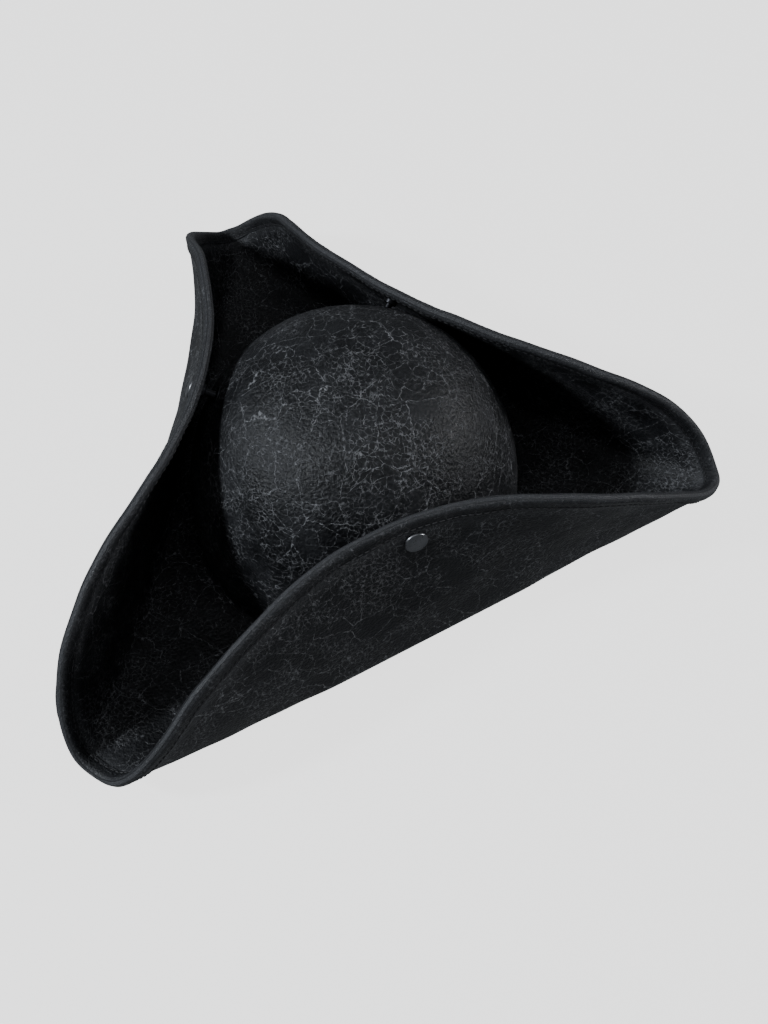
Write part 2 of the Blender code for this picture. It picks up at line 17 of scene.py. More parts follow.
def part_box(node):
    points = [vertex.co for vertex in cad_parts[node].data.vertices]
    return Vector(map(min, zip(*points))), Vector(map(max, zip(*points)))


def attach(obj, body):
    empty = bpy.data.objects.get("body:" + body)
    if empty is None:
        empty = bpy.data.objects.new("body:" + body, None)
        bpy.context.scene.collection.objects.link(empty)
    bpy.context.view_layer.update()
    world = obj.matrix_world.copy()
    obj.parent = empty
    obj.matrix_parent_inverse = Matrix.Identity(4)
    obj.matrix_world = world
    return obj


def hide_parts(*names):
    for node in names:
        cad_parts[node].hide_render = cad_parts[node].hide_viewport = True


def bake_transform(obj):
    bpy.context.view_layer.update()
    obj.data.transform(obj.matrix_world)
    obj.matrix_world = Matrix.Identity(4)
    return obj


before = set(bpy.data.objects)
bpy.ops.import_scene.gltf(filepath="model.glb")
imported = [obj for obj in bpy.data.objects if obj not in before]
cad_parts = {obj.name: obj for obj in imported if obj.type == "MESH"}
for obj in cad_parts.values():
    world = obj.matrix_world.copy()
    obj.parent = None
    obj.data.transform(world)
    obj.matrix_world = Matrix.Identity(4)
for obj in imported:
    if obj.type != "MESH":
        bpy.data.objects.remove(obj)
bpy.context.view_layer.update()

MM = 0.001
HAT = "hat"

# --- Shape of the hat, as in the CAD -----------------------------------------
CROWN_HALF_WIDTH = 97.2
CROWN_HALF_LENGTH = 93.8
CROWN_HEIGHT = 135.0
CROWN_ROUNDNESS = 2.6
CROWN_WALL = 2.0
CROWN_CENTRE = (4.5, -10.4)
LINING_INSET = 7.4
SWEATBAND_HEIGHT = 34.0
BRIM_HALF_WIDTH = 224.6
BRIM_HALF_DEPTH = 214.6
BRIM_MEAN = (BRIM_HALF_WIDTH + BRIM_HALF_DEPTH) / 2
BEND_WIDTH = 22.0
BEND_ANGLE = 94.0
BEND_FADE = 14.0
BEND_STEPS = 24
LEAN_RUN = 0.75
CORNER_RISE_START = 112.0
FLAPS = {
    "front": (272.0, 108.5, 105.0, -29.2, -65.6),
    "right_rear": (29.6, 112.0, 123.7, -0.2, -22.5),
    "left_rear": (145.1, 102.0, 116.5, 7.3, -58.7),
}
CORNERS = {
    "front_right": ("front", "right_rear", 20.2, 27.0),
    "rear": ("right_rear", "left_rear", 14.0, 36.0),
    "front_left": ("left_rear", "front", 26.0, 27.0),
}
SHEET_HALF = 2.1
SNAP_FROM_EDGE = 14.0
SNAP_AZIMUTH = {"front": 271.5, "right_rear": 33.5, "left_rear": 147.0}
SNAP_SOCKET_TOP = 5.9

# --- Looks --------------------------------------------------------------------
SKIN = 1.95                     # half thickness of the shown brim
COLUMN_ANGLE = 0.9
ROWS = 66
WAVE = 0.5                      # hand-made unevenness of the brim
TAPE_WIDTH = 7.0
TAPE_HEIGHT = 0.75
TAPE_NOSE = 1.3
TAPE_STEP = 1.5                 # length of rim for each section of tape
TAPE_JOINTS = (82.3, 281.0, 196.0)
TAPE_JOINT_ANGLE = 2.6
TAPE_JOINT_HEIGHT = 0.55
STITCH_FROM_EDGE = 5.2
STITCH_LENGTH = 3.0
STITCH_PITCH = 3.9
STITCH_RADIUS = 0.34
CROWN_COLUMNS = 160
CROWN_ROWS = 72

# --- Camera -------------------------------------------------------------------
CAMERA_ELEVATION = 58.269
CAMERA_YAW = 19.926
CAMERA_ROLL = 6.292
CAMERA_DISTANCE = 0.7
CAMERA_LENS = 42.268
CAMERA_SHIFT = (0.0454, -0.0600)
CAMERA_TARGET = (0.0, 0.0, 50.0)

# --- Floor and lights ------------------------------------------------------------
FLOOR_REACH = 6.0
FLOOR_GREY = 0.2
FLOOR_GLOW = 2.0                # hidden from the hat, so that it lights nothing from below
WORLD_LIGHT = 0.2
COOL = (0.9, 0.95, 1.0)
NEUTRAL = (0.97, 0.98, 1.0)
LIGHTS = {                      # place, aim, side, power, colour
    "key_left": ((-1.1, 0.12, 1.12), (0.0, 0.0, 0.08), 0.16, 22.0, COOL),
    "soft_right": ((1.35, -0.45, 0.5), (0.0, -0.05, 0.08), 0.3, 11.0, NEUTRAL),
    "top": ((0.1, -0.2, 1.6), (0.0, 0.0, 0.05), 1.0, 3.0, (0.95, 0.97, 1.0)),
}


def origin_shift():
    """Where the middle of the flat brim lies in the frame, in millimetres."""
    low, high = (np.array(corner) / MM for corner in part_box("crown_shell"))
    middle = (low + high) / 2
    return np.array([middle[0] - CROWN_CENTRE[0], middle[1] - CROWN_CENTRE[1], low[2] + SHEET_HALF])


SHIFT = origin_shift()


# --- The bent brim --------------------------------------------------------------
def smooth_step(t):
    t = np.clip(t, 0.0, 1.0)
    return t * t * (3.0 - 2.0 * t)


def rim_radius(azimuth):
    swing = (BRIM_HALF_WIDTH - BRIM_HALF_DEPTH) / 2
    return BRIM_MEAN + swing * np.cos(np.radians(2 * azimuth))


def flap_axes(name):
    angle = math.radians(FLAPS[name][0])
    return (math.cos(angle), math.sin(angle)), (-math.sin(angle), math.cos(angle))


def flap_bend(name, across, along):
    """How far one flap's bend moves points of the flat brim: along its fold direction and up."""
    _, fold, lean, twist, drop = FLAPS[name]
    side = np.clip(along / math.sqrt(BRIM_MEAN ** 2 - fold ** 2), -1.1, 1.1)
    end_slope = lean + twist * side + drop * side ** 2
    bend_angle = BEND_ANGLE - BEND_FADE * side ** 2
    run = np.maximum(across - fold + BEND_WIDTH / 2, 0.0)
    run_of_lean = LEAN_RUN * (BRIM_MEAN - fold)
    step = run / BEND_STEPS
    shift = 0.0
    lift = 0.0
    for index in range(BEND_STEPS + 1):
        reach = step * index
        slope = bend_angle * smooth_step(reach / BEND_WIDTH)
        slope = slope + (end_slope - bend_angle) * smooth_step((reach - 0.6 * BEND_WIDTH) / run_of_lean)
        weight = 0.5 if index in (0, BEND_STEPS) else 1.0
        shift = shift + weight * (np.cos(np.radians(slope)) - 1.0) * step
        lift = lift + weight * np.sin(np.radians(slope)) * step
    return shift, lift


def flap_corner(name, side):
    for corner, (first, second, _, _) in CORNERS.items():
        if (first if side > 0 else second) == name:
            return corner
    raise ValueError(name)


def corner_azimuth(name):
    first, second, _, _ = CORNERS[name]
    start = FLAPS[first][0]
    return start + ((FLAPS[second][0] - start) % 360.0) / 2


def turn_to(azimuth, target):
    return (target - azimuth + 180.0) % 360.0 - 180.0


def flap_share(name, azimuth):
    middle = FLAPS[name][0]
    turn = turn_to(middle, azimuth)
    corners = (flap_corner(name, -1), flap_corner(name, 1))
    reach = [abs(turn_to(middle, corner_azimuth(corner))) for corner in corners]
    limit = np.where(turn < 0.0, reach[0], reach[1])
    softness = np.where(turn < 0.0, CORNERS[corners[0]][3], CORNERS[corners[1]][3])
    return smooth_step((limit + softness - np.abs(turn)) / (2 * softness))


def bent(azimuth, radius):
    """Middle surface of the bent brim at a flat polar position, as an (..., 3) array."""
    azimuth = np.asarray(azimuth, float)
    radius = np.asarray(radius, float)
    x = radius * np.cos(np.radians(azimuth))
    y = radius * np.sin(np.radians(azimuth))
    place = np.stack([x, y, 0.0 * x], -1)
    for name in FLAPS:
        outwards, along = flap_axes(name)
        shift, lift = flap_bend(name, x * outwards[0] + y * outwards[1], x * along[0] + y * along[1])
        share = flap_share(name, azimuth)
        place[..., 0] += share * outwards[0] * shift
        place[..., 1] += share * outwards[1] * shift
        place[..., 2] += share * lift
    for name, (_, _, rise, _) in CORNERS.items():
        facing = np.maximum(np.cos(np.radians(azimuth - corner_azimuth(name))), 0.0) ** 2
        beyond = np.maximum((radius - CORNER_RISE_START) / (BRIM_MEAN - CORNER_RISE_START), 0.0)
        place[..., 2] += rise * facing * beyond ** 1.5
    return place


def unevenness(azimuth, radius):
    """Slight waves of the sheet along its normal; none at the crown and at the snaps."""
    x = radius * np.cos(np.radians(azimuth))
    y = radius * np.sin(np.radians(azimuth))
    wave = np.sin(x / 15.0 + 1.3 * np.sin(y / 27.0)) * np.sin(y / 19.0 + 0.7)
    wave = wave + 0.5 * np.sin((x + y) / 9.0 + 2.0) * np.sin((x - y) / 11.0)
    fade = smooth_step((radius - 112.0) / 30.0)
    for flap, place in SNAP_AZIMUTH.items():
        middle = rim_radius(place) - SNAP_FROM_EDGE
        turn = math.radians(place)
        away = np.hypot(x - middle * math.cos(turn), y - middle * math.sin(turn))
        fade = fade * smooth_step((away - 9.0) / 16.0)
    return WAVE * fade * wave


def sheet_frame(azimuth, radius):
    """Place on the uneven brim, outward direction in the sheet, and normal on the crown's side."""
    nudge = 0.05
    azimuth = np.asarray(azimuth, float)
    radius = np.asarray(radius, float)
    place = bent(azimuth, radius)
    outwards = bent(azimuth, radius + nudge) - bent(azimuth, radius - nudge)
    turn = np.degrees(nudge / radius)
    round_ = bent(azimuth + turn, radius) - bent(azimuth - turn, radius)
    normal = np.cross(outwards, round_)
    normal /= np.linalg.norm(normal, axis=-1, keepdims=True)
    outwards /= np.linalg.norm(outwards, axis=-1, keepdims=True)
    place = place + normal * unevenness(azimuth, radius)[..., None]
    return place, outwards, normal


def crown_radius(azimuth, clearance):
    """Distance from the brim's centre to the crown's foot in one direction."""
    half_width = CROWN_HALF_WIDTH + clearance
    half_length = CROWN_HALF_LENGTH + clearance
    dx = np.cos(np.radians(azimuth)) / half_width
    dy = np.sin(np.radians(azimuth)) / half_length
    cx = CROWN_CENTRE[0] / half_width
    cy = CROWN_CENTRE[1] / half_length
    a = dx * dx + dy * dy
    b = -2 * (dx * cx + dy * cy)
    c = cx * cx + cy * cy - 1.0
    return (-b + np.sqrt(b * b - 4 * a * c)) / (2 * a)


def half_flaps():
    """(name, flap, side, first azimuth, last azimuth) of each half of each flap."""
    halves = []
    for flap, (middle, *_) in FLAPS.items():
        for side, word in ((-1, "first"), (1, "second")):
            reach = abs(turn_to(middle, corner_azimuth(flap_corner(flap, side))))
            ends = (middle - reach, middle) if side < 0 else (middle, middle + reach)
            halves.append((flap + "_" + word, flap, side, ends[0], ends[1]))
    return halves


# --- Meshes -------------------------------------------------------------------
def add_mesh(name, points, faces, material, cloth=None, wear=None, sharp=35.0):
    """A smooth mesh object from points in millimetres round the brim's centre.

    cloth is each point's place on the cloth before it was bent, which its pattern follows.
    """
    points = np.asarray(points, float)
    mesh = bpy.data.meshes.new(name)
    mesh.from_pydata([tuple(p) for p in (points + SHIFT) * MM], [], faces)
    cloth = points if cloth is None else np.asarray(cloth, float)
    layer = mesh.attributes.new("cloth", "FLOAT_VECTOR", "POINT")
    layer.data.foreach_set("vector", (cloth * MM).astype(np.float32).ravel())
    if wear is not None:
        layer = mesh.attributes.new("wear", "FLOAT", "POINT")
        layer.data.foreach_set("value", np.asarray(wear, np.float32))
    shape = bmesh.new()
    shape.from_mesh(mesh)
    bmesh.ops.recalc_face_normals(shape, faces=shape.faces)
    if shape.calc_volume(signed=True) < 0.0:
        bmesh.ops.reverse_faces(shape, faces=shape.faces)
    shape.to_mesh(mesh)
    shape.free()
    mesh.shade_smooth()
    mesh.set_sharp_from_angle(angle=math.radians(sharp))
    mesh.materials.append(material)
    made = bpy.data.objects.new(name, mesh)
    bpy.context.scene.collection.objects.link(made)
    return made


def bend_with_flap(piece):
    """Bake the placement of a half flap's piece into its mesh."""
    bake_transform(piece)


def make_brim_half(half, material):
    name, flap, side, first, last = half
    columns = int(math.ceil((last - first) / COLUMN_ANGLE)) + 1
    azimuths = np.linspace(first, last, columns)
    share = np.linspace(0.0, 1.0, ROWS)
    inner = crown_radius(azimuths, -0.6)
    radii = inner[:, None] + (rim_radius(azimuths) - inner)[:, None] * share[None, :]
    azimuth = np.repeat(azimuths[:, None], ROWS, 1)
    place, _, normal = sheet_frame(azimuth, radii)
    points = np.concatenate([(place + normal * SKIN).reshape(-1, 3), (place - normal * SKIN).reshape(-1, 3)])
    flat = np.stack([radii * np.cos(np.radians(azimuth)), radii * np.sin(np.radians(azimuth)), 0 * radii], -1)
    cloth = np.concatenate([flat.reshape(-1, 3), flat.reshape(-1, 3) + (0.0, 0.0, 300.0)])
    near_edge = smooth_step(1.0 - (rim_radius(azimuth) - radii - TAPE_WIDTH) / 9.0)
    wear = np.tile(0.35 * near_edge.reshape(-1), 2)
    under = columns * ROWS
    faces = []
    for column in range(columns - 1):
        for row in range(ROWS - 1):
            here = column * ROWS + row
            quad = (here, here + 1, here + ROWS + 1, here + ROWS)
            faces.append(quad)
            faces.append(tuple(under + index for index in reversed(quad)))
    loop = list(range(ROWS))
    loop += [column * ROWS + ROWS - 1 for column in range(1, columns)]
    loop += [(columns - 1) * ROWS + row for row in range(ROWS - 2, -1, -1)]
    loop += [column * ROWS for column in range(columns - 2, 0, -1)]
    for here, there in zip(loop, loop[1:] + loop[:1]):
        faces.append((here, there, under + there, under + here))
    piece = add_mesh("brim_" + name, points, faces, material, cloth, wear)
    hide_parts("brim_top", "brim_core", "brim_under", "flap_" + flap + "_top",
                "flap_" + flap + "_core", "flap_" + flap + "_under")
    bend_with_flap(piece)
    return piece


# --- Edge tape and its stitches ---------------------------------------------------
def tape_joint(azimuth):
    """Extra height where one length of tape laps over the next: a ramp, then a step."""
    height = 0.0 * azimuth
    for joint in TAPE_JOINTS:
        turn = turn_to(joint, azimuth) / TAPE_JOINT_ANGLE
        inside = smooth_step(turn + 1.0) * (1.0 - smooth_step((turn - 1.0) / 0.12))
        height = height + TAPE_JOINT_HEIGHT * inside
    return height


def tape_section():
    """(distance in from the edge, share of height, wear) of the tape's points on one face."""
    return [(7.0, -0.15, 0.8), (7.0, 0.75, 1.0), (6.75, 0.98, 0.8), (6.1, 1.0, 0.3),
            (5.55, 0.86, 0.0), (5.2, 0.78, 0.0), (4.85, 0.86, 0.0), (4.2, 1.04, 0.1),
            (2.8, 1.12, 0.1), (1.4, 1.1, 0.2), (0.3, 0.95, 0.4), (-0.5, 0.45, 0.8)]


def pucker(azimuth, inside):
    """Gathers of the tape between its stitches."""
    arc = np.radians(azimuth) * BRIM_MEAN
    ripple = np.sin(arc * 2 * math.pi / STITCH_PITCH) * 0.06 + np.sin(arc / 3.1 + np.sin(arc / 7.7)) * 0.09
    ripple = ripple + 0.14 * np.sin(arc / 12.3 + 2.0 * np.sin(arc / 31.0))
    return ripple * smooth_step(inside / 1.5)


def tape_points(azimuths):
    """Rings of points round the folded tape, with their places on the cloth and their wear."""
    section = tape_section()
    rim = rim_radius(azimuths)
    extra = tape_joint(azimuths)
    rings = []
    cloth = []
    wear = []
    arc = np.radians(azimuths) * BRIM_MEAN
    for face, order in ((1, section), (-1, section[::-1])):
        for inside, share, worn in order:
            place, outwards, normal = sheet_frame(azimuths, rim - max(inside, 0.0))
            height = SKIN + TAPE_HEIGHT * share + extra * min(max(share, 0.0), 1.0)
            height = height + pucker(azimuths, max(inside, 0.0)) * (0.0 if share < 0.5 else 1.0)
            if inside < 0.0:
                height = height * 0.72
            past = max(-inside, 0.0) * TAPE_NOSE * 1.6
            wander = 0.35 * np.sin(arc / 17.0) * np.sin(arc / 41.0 + face) if inside > 6.5 else 0.0 * arc
            point = place + outwards * (past - wander)[..., None] if inside > 6.5 else place + outwards * past
            rings.append(point + normal * (face * height)[..., None])
            cloth.append(np.stack([arc, 0 * arc + inside * face * 1.6 + 40.0 * face, 0 * arc + 500.0], -1))
            wear.append(0 * arc + worn)
        if face == 1:
            place, outwards, normal = sheet_frame(azimuths, rim)
            for share in (0.5, 0.0, -0.5):
                rings.append(place + outwards * (TAPE_NOSE * (1.25 - 0.35 * abs(share)))
                             + normal * (share * SKIN))
                cloth.append(np.stack([arc, 0 * arc - share * 4.0, 0 * arc + 500.0], -1))
                wear.append(0 * arc + 1.0)
    return np.stack(rings, 1), np.stack(cloth, 1), np.stack(wear, 1)


def make_tape_half(half, material):
    name, flap, side, first, last = half
    count = int(math.ceil(math.radians(last - first) * BRIM_MEAN / TAPE_STEP)) + 1
    azimuths = np.linspace(first, last, count)
    rings, cloth, wear = tape_points(azimuths)
    size = rings.shape[1]
    faces = []
    for section in range(count - 1):
        for index in range(size):
            here = section * size + index
            there = section * size + (index + 1) % size
            faces.append((here, there, there + size, here + size))
    half_size = size // 2
    for start in (0, (count - 1) * size):
        for index in range(half_size):
            mirror = size - 1 - index
            if mirror - index > 1:
                faces.append(tuple(start + i for i in (index, index + 1, mirror - 1, mirror)))
    faces = [tuple(dict.fromkeys(face)) for face in faces]
    piece = add_mesh("edge_tape_" + name, rings.reshape(-1, 3), faces, material,
                     cloth.reshape(-1, 3), wear.reshape(-1), 50.0)
    corner = flap_corner(flap, side)
    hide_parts("edge_tape_" + flap, "edge_tape_corner_" + corner)
    bend_with_flap(piece)
    return piece


def capsule(points, faces, start, end, up, radius, sides=6):
    """Add one thread stitch that arches from start to end."""
    along = (end - start) / np.linalg.norm(end - start)
    across = np.cross(along, up)
    across /= np.linalg.norm(across)
    length = np.linalg.norm(end - start)
    stations = ((0.0, 0.25, -0.6), (0.08, 0.75, -0.2), (0.25, 1.0, 0.1), (0.5, 1.0, 0.2),
                (0.75, 1.0, 0.1), (0.92, 0.75, -0.2), (1.0, 0.25, -0.6))
    base = len(points)
    for share, thick, lift in stations:
        middle = start + along * length * share + up * radius * lift
        for index in range(sides):
            turn = 2 * math.pi * index / sides
            points.append(middle + (across * math.cos(turn) + up * math.sin(turn)) * radius * thick)
    for station in range(len(stations) - 1):
        for index in range(sides):
            here = base + station * sides + index
            there = base + station * sides + (index + 1) % sides
            faces.append((here, there, there + sides, here + sides))
    faces.append(tuple(base + index for index in range(sides)))
    faces.append(tuple(base + (len(stations) - 1) * sides + index for index in range(sides)))


def make_stitch_half(half, material):
    name, flap, side, first, last = half
    pitch = math.degrees(STITCH_PITCH / BRIM_MEAN)
    count = int((last - first) / pitch)
    pitch = (last - first) / count
    reach = math.degrees(STITCH_LENGTH / 2 / BRIM_MEAN)
    middles = first + pitch * (np.arange(count) + 0.5)
    points = []
    faces = []
    for face in (1, -1):
        ends = []
        for turn in (-reach, reach):
            azimuth = middles + turn
            sway = 0.25 * np.sin(np.radians(azimuth) * BRIM_MEAN / 23.0)
            place, _, normal = sheet_frame(azimuth, rim_radius(azimuth) - STITCH_FROM_EDGE + sway)
            height = SKIN + 0.8 * TAPE_HEIGHT + tape_joint(azimuth) + pucker(azimuth, STITCH_FROM_EDGE)
            ends.append((place + normal * (face * (height + 0.12))[:, None], normal * face))
        for index in range(count):
            up = ends[0][1][index] + ends[1][1][index]
            capsule(points, faces, ends[0][0][index], ends[1][0][index], up / np.linalg.norm(up),
                    STITCH_RADIUS)
    piece = add_mesh("tape_stitches_" + name, points, faces, material)
    bend_with_flap(piece)
    return piece


# --- Crown, lining and bands -------------------------------------------------------
def crown_size(z, inset):
    share = np.clip(z / (CROWN_HEIGHT - inset), 0.0, 1.0)
    size = (1.0 - share ** CROWN_ROUNDNESS) ** (1.0 / CROWN_ROUNDNESS)
    return (CROWN_HALF_WIDTH - inset) * size, (CROWN_HALF_LENGTH - inset) * size


def dome_skin(inset, bottom, dents):
    """Rings of an upright dome from its foot to near its top, then the top point."""
    angles = np.linspace(0.0, 2 * math.pi, CROWN_COLUMNS, endpoint=False)
    height = CROWN_HEIGHT - inset
    rings = []
    for index in range(CROWN_ROWS):
        turn = math.pi / 2 * index / CROWN_ROWS
        z = bottom if index == 0 else height * math.sin(turn) ** 0.9
        half_width, half_length = crown_size(max(z, 0.0), inset)
        dent = 0.0 * angles
        if dents:
            level = z / 31.0
            dent = 0.7 * np.sin(2 * angles + 1.1 + level) * np.sin(level)
            dent = dent + 0.35 * np.sin(5 * angles - level * 1.7)
            dent = dent * math.sin(2 * turn) ** 0.5 if index else dent * 0.0
        rings.append(np.stack([CROWN_CENTRE[0] + (half_width + dent) * np.cos(angles),
                               CROWN_CENTRE[1] + (half_length + dent) * np.sin(angles),
                               0 * angles + z], -1))
    return np.array(rings), np.array([CROWN_CENTRE[0], CROWN_CENTRE[1], height])


def dome_piece(name, inset, wall, bottom, material, dents=0.0, foot=None):
    """A closed dome with an even wall; foot is a list of (outwards, z) rings below its outer skin."""
    outer, outer_top = dome_skin(inset, bottom, dents)
    inner, inner_top = dome_skin(inset + wall, bottom, dents)
    rings = list(outer)
    if foot:
        angles = np.linspace(0.0, 2 * math.pi, CROWN_COLUMNS, endpoint=False)
        lower = []
        for out, z in foot:
            lower.append(np.stack([CROWN_CENTRE[0] + (CROWN_HALF_WIDTH - inset + out) * np.cos(angles),
                                   CROWN_CENTRE[1] + (CROWN_HALF_LENGTH - inset + out) * np.sin(angles),
                                   0 * angles + z], -1))
        rings = lower + [ring for ring in outer[1:] if ring[0][2] > foot[-1][1] + 0.5]
    rings = rings[::-1]
    rings += list(inner)
    points = np.concatenate([outer_top[None], np.concatenate(rings), inner_top[None]])
    size = CROWN_COLUMNS
    faces = []
    for row in range(len(rings) - 1):
        for index in range(size):
            here = 1 + row * size + index
            there = 1 + row * size + (index + 1) % size
            faces.append((here, there, there + size, here + size))
    last = 1 + (len(rings) - 1) * size
    for index in range(size):
        following = (index + 1) % size
        faces.append((0, 1 + following, 1 + index))
        faces.append((len(points) - 1, last + index, last + following))
    return add_mesh(name, points, faces, material)


def make_crown(materials):
    foot = [(2.6, 1.9), (2.55, 2.5), (1.9, 2.75), (1.0, 3.2), (0.45, 4.1), (0.15, 5.6), (0.0, 7.5)]
    crown = dome_piece("crown", 0.0, CROWN_WALL, -SHEET_HALF + 0.2, materials["suede"], 1.0, foot)
    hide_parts("crown_shell")
    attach(crown, HAT)
    lining = dome_piece("lining", LINING_INSET, 0.8, -SHEET_HALF + 3.0, materials["satin"])
    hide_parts("crown_lining")
    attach(lining, HAT)


def band_piece(name, inset, wall, bottom, top, material, ripple=0.0):
    """A soft upright band with rounded edges, following the crown's oval."""
    angles = np.linspace(0.0, 2 * math.pi, CROWN_COLUMNS * 2, endpoint=False)
    height = top - bottom
    profile = [(0.0, 0.15), (0.0, 0.5), (0.0, 0.85), (0.02, 0.97), (0.3, 1.0), (0.7, 1.0), (0.98, 0.97),
               (1.0, 0.85), (1.0, 0.5), (1.0, 0.15), (0.98, 0.03), (0.7, 0.0), (0.3, 0.0), (0.02, 0.03)]
    rings = []
    for across, up in profile:
        z = bottom + height * up
        half_width, half_length = crown_size(max(z, 0.0), inset + wall * across)
        wave = ripple * up * np.sin(7 * angles + 2.0 * np.sin(3 * angles))
        rings.append(np.stack([CROWN_CENTRE[0] + (half_width + wave) * np.cos(angles),
                               CROWN_CENTRE[1] + (half_length + wave) * np.sin(angles), 0 * angles + z], -1))
    points = np.stack(rings, 1)
    size = len(profile)
    count = len(angles)
    faces = []
    for section in range(count):
        ahead = (section + 1) % count
        for index in range(size):
            following = (index + 1) % size
            faces.append((section * size + index, section * size + following,
                          ahead * size + following, ahead * size + index))
    arc = np.repeat((angles * CROWN_HALF_WIDTH)[:, None], size, 1)
    cloth = np.stack([arc, points[..., 2], 0 * arc], -1)
    return add_mesh(name, points.reshape(-1, 3), faces, material, cloth.reshape(-1, 3), None, 60.0)


def make_bands(materials):
    sweatband = band_piece("sweatband", LINING_INSET + 1.15, 1.1, -SHEET_HALF + 0.4, SWEATBAND_HEIGHT,
                           materials["twill"], -0.25)
    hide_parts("sweatband")
    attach(sweatband, HAT)
    seam = band_piece("seam_tape", 3.75, 1.3, -SHEET_HALF + 0.4, -SHEET_HALF + 14.0, materials["twill"])
    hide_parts("seam_tape")
    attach(seam, HAT)
    points = []
    faces = []
    count = 150
    for level in (4.0, 30.5):
        half_width, half_length = crown_size(level, LINING_INSET + 2.4)
        for index in range(count):
            ends = []
            for turn in (-0.36, 0.36):
                angle = 2 * math.pi * (index + turn) / count
                ends.append(np.array([CROWN_CENTRE[0] + half_width * math.cos(angle),
                                      CROWN_CENTRE[1] + half_length * math.sin(angle), level]))
            middle = (ends[0] + ends[1]) / 2 - np.array([*CROWN_CENTRE, level])
            capsule(points, faces, ends[0], ends[1], -middle / np.linalg.norm(middle), 0.3)
    stitches = add_mesh("sweatband_stitches", points, faces, materials["thread"])
    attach(stitches, HAT)


# --- Snaps ---------------------------------------------------------------------
def turned(name, profile, place, axis, material, sides=56):
    """A body of revolution from (radius, height) pairs that run from axis to axis."""
    up = Vector(axis).normalized()
    side = up.orthogonal().normalized()
    front = up.cross(side)
    points = []
    faces = []
    rings = []
    for radius, height in profile:
        middle = Vector(place) + up * height
        if radius == 0.0:
            rings.append([len(points)] * sides)
            points.append(middle)
            continue
        rings.append(list(range(len(points), len(points) + sides)))
        for index in range(sides):
            turn = 2 * math.pi * index / sides
            points.append(middle + (side * math.cos(turn) + front * math.sin(turn)) * radius)
    for first, second in zip(rings, rings[1:]):
        for index in range(sides):
            following = (index + 1) % sides
            face = list(dict.fromkeys([first[index], first[following], second[following], second[index]]))
            if len(face) > 2:
                faces.append(face)
    points = np.array([tuple(p) for p in points])
    return add_mesh(name, points, faces, material, points - np.array(place), None, 30.0)


def inside_crown(point, inset):
    half_width, half_length = crown_size(point[2], inset)
    if half_width <= 0.0:
        return False
    return (((point[0] - CROWN_CENTRE[0]) / half_width) ** 2
            + ((point[1] - CROWN_CENTRE[1]) / half_length) ** 2) < 1.0


def reach_of_crown(place, direction, inset):
    reach = 0.0
    while not inside_crown(place + direction * reach, inset):
        reach += 0.02
    return reach


def make_snap(flap, metal, inner_metal):
    azimuth = SNAP_AZIMUTH[flap]
    place, _, axis = sheet_frame(np.array(azimuth), rim_radius(azimuth) - SNAP_FROM_EDGE)
    body = "flap_" + flap
    base = -SKIN - 0.1
    cap = [(0.0, base - 1.75), (1.6, base - 1.72), (3.2, base - 1.6), (4.5, base - 1.4), (5.0, base - 1.28),
           (5.3, base - 1.34), (5.7, base - 1.38), (6.1, base - 1.22), (6.35, base - 0.85),
           (6.4, base - 0.4), (6.2, base - 0.05), (5.6, base + 0.1), (2.0, base + 0.1),
           (1.9, SKIN + 0.5), (0.0, SKIN + 0.5)]
    cap_piece = turned("snap_cap_shown_" + flap, cap, place, axis, metal)
    socket_base = SKIN + 0.1
    socket = [(0.0, socket_base + 0.4), (1.4, socket_base + 0.4), (2.6, socket_base + 0.9),
              (2.8, SNAP_SOCKET_TOP - 0.3), (3.1, SNAP_SOCKET_TOP), (3.6, SNAP_SOCKET_TOP),
              (3.9, SNAP_SOCKET_TOP - 0.4), (4.0, socket_base + 1.4), (4.4, socket_base + 1.0),
              (5.1, socket_base + 0.9), (5.4, socket_base + 0.6), (5.4, socket_base + 0.1),
              (0.0, socket_base + 0.05)]
    socket_piece = turned("snap_socket_shown_" + flap, socket, place, axis, inner_metal)
    seat = reach_of_crown(place, axis, 0.0)
    tip = SNAP_SOCKET_TOP - 2.0
    stud = [(0.0, tip), (1.2, tip + 0.1), (2.1, tip + 0.4), (2.5, tip + 1.0), (2.4, tip + 1.4),
            (2.0, tip + 1.8), (2.0, seat - 1.2), (2.6, seat - 1.0), (4.6, seat - 0.8),
            (5.0, seat - 0.5), (5.0, seat + 0.2), (0.0, seat + 0.2)]
    stud_piece = turned("snap_stud_shown_" + flap, stud, place, axis, inner_metal)
    for piece, node, carrier in ((cap_piece, "snap_cap_", body), (socket_piece, "snap_socket_", body),
                                 (stud_piece, "snap_stud_", HAT)):
        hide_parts(node + flap)
        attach(piece, carrier)


